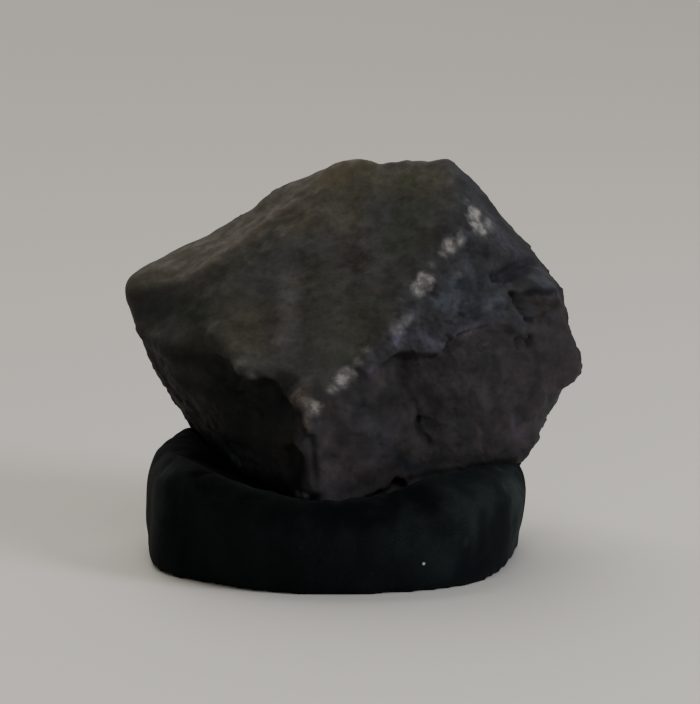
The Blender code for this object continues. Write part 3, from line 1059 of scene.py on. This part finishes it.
def points_of(mesh, kind="co"):
    """A mesh's points in millimetres, or its unit normals."""
    flat = np.empty(3 * len(mesh.vertices))
    mesh.vertices.foreach_get(kind, flat)
    return flat.reshape(-1, 3) / (MM if kind == "co" else 1)


def set_points(mesh, points):
    mesh.vertices.foreach_set("co", (points * MM).ravel())
    mesh.update()


def modified_mesh(thing):
    """The mesh that an object's modifiers make."""
    made = thing.evaluated_get(bpy.context.evaluated_depsgraph_get())
    return bpy.data.meshes.new_from_object(made)


def apply_modifiers(thing):
    mesh = modified_mesh(thing)
    thing.modifiers.clear()
    thing.data = mesh


def turned_cushion():
    """Draw the side view, turn it about the middle, weld the points on the axis and push it about."""
    drawing = bpy.data.meshes.new("Cushion_profile")
    corners = [(x * MM, 0, z * MM) for x, z in CUSHION_PROFILE]
    drawing.from_pydata(corners, [(i, i + 1) for i in range(len(corners) - 1)], [])
    pad = bpy.data.objects.new("Velvet_cushion_cover", drawing)
    bpy.context.scene.collection.objects.link(pad)
    turn = pad.modifiers.new("Turn", "SCREW")
    turn.steps = CUSHION_STEPS
    turn.render_steps = CUSHION_STEPS
    turn.use_merge_vertices = True
    turn.merge_threshold = AXIS_WELD * MM
    apply_modifiers(pad)
    set_points(pad.data, out_of_round(points_of(pad.data)))
    return pad


cushion = turned_cushion()
print("cushion form:", len(cushion.data.vertices), "points")

# %% [markdown]
# ## Press the stone in
#
# The stone's weight squashes the foam. Walking out from the stone's middle tells how deep in the stone a
# point of the cushion lies, so every such point is moved out to the stone's surface, plus a small gap.

# %% Make room for the stone
STONE_GAP = 0.45
STONE_REACH = 95
OPENINGS = (
    # compass, half width in degrees, how far the velvet stands off there in millimetres
    (24, 16, 1.0),
    (52, 40, 0.5),
)


def gap_to_stone(points):
    """Each point's distance from the stone along the line from the stone's middle, and that line."""
    ways = points - np.array(STONE_MIDDLE)
    lengths = np.linalg.norm(ways, axis=1)
    directions = ways / lengths[:, None]
    gaps = np.full(len(points), float(STONE_REACH))
    near = lengths < STONE_REACH
    surface = stone_surface(directions[near])[0]
    gaps[near] = lengths[near] - away_from(surface, STONE_MIDDLE)
    return gaps, directions


def clear_of_stone(points):
    """Move points that lie in the stone, or too near it, out along that line."""
    gaps, directions = gap_to_stone(points)
    wanted = STONE_GAP + around(compass_of(points), OPENINGS)
    moved = points + directions * np.maximum(0, wanted - gaps)[:, None]
    moved[:, 2] = np.maximum(moved[:, 2], 0)
    return moved


# %% [markdown]
# ## Fill it like a cushion
#
# Velvet over foam is stretched smooth where it bulges and wrinkles where it is held. A cloth simulation
# with pressure inside gives that. The cover is cut a little too big and starts a little small, its base and
# the bed under the stone are held, and the free rim and side swell for twenty frames. The piece is only as
# big as a hand, so the pressure is far higher than a seat cushion needs.

# %% Swell the velvet
VOXEL = 2.4
START_SMALLER = 1.5
MOST_SWELL = 3
SWELL_FRAMES = 20
SWELL_PRESSURE = 400
SPARE_CLOTH = 0.03
STIFFNESS = {"tension": 5, "compression": 5, "shear": 2, "bending": 0.4}
HELD_BASE = 2
BASE_FADE = 9


def remesh_evenly(pad, voxel):
    remesh = pad.modifiers.new("Even grid", "REMESH")
    remesh.mode = "VOXEL"
    remesh.voxel_size = voxel * MM
    apply_modifiers(pad)


def hold_points(pad, gaps):
    """Pin the base and the bed under the stone."""
    held = (points_of(pad.data)[:, 2] < HELD_BASE) | (gaps < STONE_GAP + START_SMALLER)
    group = pad.vertex_groups.new(name="Held")
    group.add([int(i) for i in np.nonzero(held)[0]], 1.0, "REPLACE")


def swell(pad):
    """Run the cloth simulation and return where it takes each point."""
    cloth = pad.modifiers.new("Cloth", "CLOTH")
    cloth.settings.use_pressure = True
    cloth.settings.uniform_pressure_force = SWELL_PRESSURE
    for kind, stiffness in STIFFNESS.items():
        setattr(cloth.settings, kind + "_stiffness", stiffness)
    cloth.settings.shrink_min = -SPARE_CLOTH
    cloth.settings.effector_weights.gravity = 0
    cloth.settings.vertex_group_mass = "Held"
    cloth.collision_settings.use_collision = False
    cloth.point_cache.frame_start = 1
    cloth.point_cache.frame_end = SWELL_FRAMES
    for step in range(1, SWELL_FRAMES + 1):
        bpy.context.scene.frame_set(step)
    swollen = points_of(modified_mesh(pad))
    pad.modifiers.clear()
    pad.vertex_groups.clear()
    bpy.context.scene.frame_set(1)
    return swollen


def fill_cushion(pad):
    """Swell the cover, but move no point too far and leave the base as it is."""
    remesh_evenly(pad, VOXEL)
    full = points_of(pad.data)
    gaps, _ = gap_to_stone(full)
    start = clear_of_stone(full - START_SMALLER * points_of(pad.data, "normal"))
    set_points(pad.data, start)
    hold_points(pad, gaps)
    move = swell(pad) - start
    length = np.linalg.norm(move, axis=1)
    move *= np.minimum(1, MOST_SWELL / np.maximum(length, 1e-6))[:, None]
    print("the velvet swells", round(length.mean(), 2), "mm, and", round(length.max(), 2), "at most")
    swollen = start + move
    free = smooth_step((full[:, 2] - HELD_BASE) / BASE_FADE)[:, None]
    set_points(pad.data, clear_of_stone(full + free * (swollen - full)))


fill_cushion(cushion)

# %% [markdown]
# ## Folds and dents
#
# Real velvet shows how it was pulled round the foam. There is a sharp crease on the left, soft upright
# folds on the right, a dent where the stone's front corner drags the cover down, and a thin raised lip
# along the rim beside it. Under the undercut side the rim sinks away from the stone and leaves a dark gap.
# These are pushed in and out of the smoothed surface by listed bumps.

# %% Fold the velvet
FOLDS = (
    # compass, height, half width in degrees, half height in millimetres, push
    (305, 20, 5, 22, -1.1),
    (312, 16, 6, 26, -0.6),
    (296, 18, 8, 22, 0.9),
    (335, 14, 9, 24, 0.5),
    (356, 12, 10, 20, -0.4),
    (14, 16, 9, 20, 0.4),
    (27, 28, 9, 7, -2.6),
    (41, 19, 8, 17, 0.7),
    (48, 17, 7, 13, -0.8),
    (43, 7, 9, 6, -1.0),
    (58, 18, 8, 18, 0.7),
    (66, 22, 6, 20, -0.3),
    (100, 16, 9, 20, -0.8),
    (128, 20, 6, 22, 0.8),
    (150, 14, 7, 22, -0.9),
    (176, 18, 8, 22, 0.7),
    (205, 15, 6, 20, -1.0),
    (232, 18, 9, 20, 0.8),
    (262, 16, 5, 20, -0.8),
)
LIPS = (
    # compass, half width in degrees, distance from the middle, half thickness, lift, negative to sink
    (308, 38, 43, 14, -5.0),
    (24, 20, 43, 9, -2.6),
    (30, 26, 53, 3.0, 1.0),
    (62, 20, 54, 3.0, 0.8),
    (285, 22, 56, 3.4, 0.8),
    (200, 60, 55, 3.4, 0.6),
)
LIP_FROM = 20
LIP_FADE = 8
TOP_PUSH = 0.3
BASE_FLAT = 0.3


def fold_push(points):
    """How far the folds push each point out."""
    compass = compass_of(points)
    push = np.zeros(len(points))
    for middle, height, half_turn, half_height, depth in FOLDS:
        across = turn_between(compass, middle) / half_turn
        up = (points[:, 2] - height) / half_height
        push += depth * bowl(np.hypot(across, up), 1)
    return push


def lip_lift(points):
    """How far the lips lift each point near the rim."""
    compass = compass_of(points)
    from_middle = np.hypot(points[:, 0], points[:, 1] / CUSHION_DEPTH_SHARE)
    lift = np.zeros(len(points))
    for middle, half_turn, distance, half, height in LIPS:
        near = bowl(turn_between(compass, middle), half_turn) * bowl(from_middle - distance, half)
        lift += height * near
    return lift * smooth_step((points[:, 2] - LIP_FROM) / LIP_FADE)


def sculpt_velvet(pad):
    """Subdivide the cover, fold it, lift its lips and keep its base flat."""
    finer = pad.modifiers.new("Finer", "SUBSURF")
    finer.levels = 1
    finer.render_levels = 1
    apply_modifiers(pad)
    points = points_of(pad.data)
    normals = points_of(pad.data, "normal")
    sideways = 1 - np.abs(normals[:, 2]) ** 2
    moved = points + normals * (fold_push(points) * np.maximum(sideways, TOP_PUSH))[:, None]
    moved[:, 2] += lip_lift(points)
    moved[:, 2][points[:, 2] < BASE_FLAT] = 0
    set_points(pad.data, clear_of_stone(moved))
    pad.data.shade_smooth()


sculpt_velvet(cushion)
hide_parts("velvet_cushion")
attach(cushion, "root")
print("cushion:", len(cushion.data.vertices), "points,", 2 * len(cushion.data.polygons), "triangles")

# %% [markdown]
# ## Brushed patches and painted light
#
# Velvet that has been stroked lies over and looks paler or darker there. Most patches here are painted
# light and shade, though: painted shade in the dent, the crease and a fold, and a painted highlight and
# sheen on the left rim and down the right side, where the right panel falls. The patches are placed one
# by one, with the same function as the stone's tints, and kept on the points of the cover. The deep shade
# beside and under the stone is laid on in the same way, since little light gets in there.

# %% Brush the pile and paint its light and shade
BRUSHED_PILE_AND_PAINTED_LIGHT = (
    # name, points, half width, how much red, green and blue it leaves
    ("shade left of the stone", ((-49, -4, 34), (-45, -18, 32), (-41, -32, 33)), 10, (0.06, 0.07, 0.09)),
    ("shade under the stone",
     ((-42, -40, 34), (-34, -45, 31), (-21, -50, 28), (-11, -52, 27), (5, -54, 27.5), (16, -53, 29)), 10,
     (0.16, 0.18, 0.21)),
    # Painted shade in the dent.
    ("painted shade in the dent", ((16, -45, 31), (26, -47, 31), (31, -50, 29)), 7, (0.2, 0.23, 0.27)),
    # Painted highlight along the left rim.
    ("painted highlight on the left rim", ((-61, -10, 33), (-58, -22, 33.5), (-54, -30, 33)), 3, (2.4, 2.2, 2.0)),
    ("pale left side", ((-58, -27, 25), (-58, -25, 8)), 8, (2.6, 2.3, 2.1)),
    # Painted shade in the crease.
    ("painted shade in the crease", ((-50, -38, 27), (-50, -38, 6)), 4, (0.5, 0.52, 0.6)),
    ("dark streak at the front", ((8, -57, 24), (8, -57, 6)), 3.5, (0.7, 0.75, 0.85)),
    # Painted light and sheen from the right panel, and painted shade in a fold between them.
    ("painted light right of the front", ((20, -56, 18), (33, -52, 12)), 11, (1.7, 1.7, 1.65)),
    ("painted light on the right shoulder", ((36, -49, 28), (43, -46, 20), (50, -40, 28)), 8, (2.4, 2.2, 1.95)),
    ("dark band", ((47, -43, 22), (47, -43, 12)), 3.4, (0.5, 0.55, 0.6)),
    ("dark low patch", ((40, -48, 5), (46, -44, 5)), 5, (0.55, 0.6, 0.65)),
    # Painted light and sheen from the right panel down the right side.
    ("painted light on the right side", ((58, -20, 24), (60, -17, 8)), 12, (3.8, 3.6, 3.2)),
)
keep_on_points(cushion.data, "brushed_pile_and_painted_light", tints_and_painted_light(points_of(cushion.data), BRUSHED_PILE_AND_PAINTED_LIGHT).T)
print(len(BRUSHED_PILE_AND_PAINTED_LIGHT), "brushed patches")

# %% [markdown]
# ## Black velvet
#
# Velvet's pile stands on end, so it swallows light that falls straight on it and glows a little where it
# is seen from the side. A sheen layer gives that glow. A slow noise makes the black uneven, a very fine
# bump gives the pile, and one speck of white lint sits low on the front.

# %% Weave the velvet
PILE_DEEP = (0.0031, 0.0046, 0.0052)
PILE_LAID = (0.0066, 0.0088, 0.0098)
PILE_TIPS = (0.0135, 0.0175, 0.0188)
DUST = (0.05, 0.055, 0.055)
LINT = (0.5, 0.5, 0.5)
LINT_PLACE = (28, -54.5, 9.5)
LINT_SIZE = 0.6
SHEEN_COLOUR = (0.6, 0.75, 0.8, 1)
SHEEN_WEIGHT = 0.012


def nearest_point(mesh, place):
    points = points_of(mesh)
    return points[np.argmin(away_from(points, place))]


def black_velvet():
    mix = Recipe("Black velvet")
    brushed_pile_and_painted_light = mix.noise(13, 3, stretch=(1, 1, 0.5))
    pile = mix.noise(0.5, 3, 0.7)
    shade = mix.mix(mix.between(brushed_pile_and_painted_light, 0.35, 0.7), PILE_DEEP, PILE_LAID)
    shade = mix.mix(mix.between(pile, 0.35, 0.75, 0, 0.35), shade, PILE_TIPS)
    # The cover's patches multiply the colour here: brushed pile, painted shade and painted light.
    shade = mix.tint(shade, mix.add("ShaderNodeAttribute", attribute_name="brushed_pile_and_painted_light").outputs["Color"])
    to_lint = mix.add("ShaderNodeVectorMath", operation="DISTANCE")
    mix.feed(to_lint.inputs[0], mix.place)
    to_lint.inputs[1].default_value = nearest_point(cushion.data, LINT_PLACE) * MM
    speck = mix.between(to_lint.outputs["Value"], 0.5 * LINT_SIZE * MM, LINT_SIZE * MM, 1, 0)
    dust = mix.between(mix.noise(0.8, 2, 0.4), 0.7, 0.8, 0, 0.3)
    shade = mix.mix(dust, shade, DUST)
    mix.feed(mix.shader.inputs["Base Color"], mix.mix(speck, shade, LINT))
    mix.shader.inputs["Roughness"].default_value = 0.95
    mix.shader.inputs["Specular IOR Level"].default_value = 0.1
    mix.shader.inputs["Sheen Weight"].default_value = SHEEN_WEIGHT
    mix.shader.inputs["Sheen Roughness"].default_value = 0.45
    mix.shader.inputs["Sheen Tint"].default_value = SHEEN_COLOUR
    mix.feed(mix.shader.inputs["Normal"], mix.bump(pile, 0.25, 0.7))
    return mix.material


cushion.data.materials.clear()
cushion.data.materials.append(black_velvet())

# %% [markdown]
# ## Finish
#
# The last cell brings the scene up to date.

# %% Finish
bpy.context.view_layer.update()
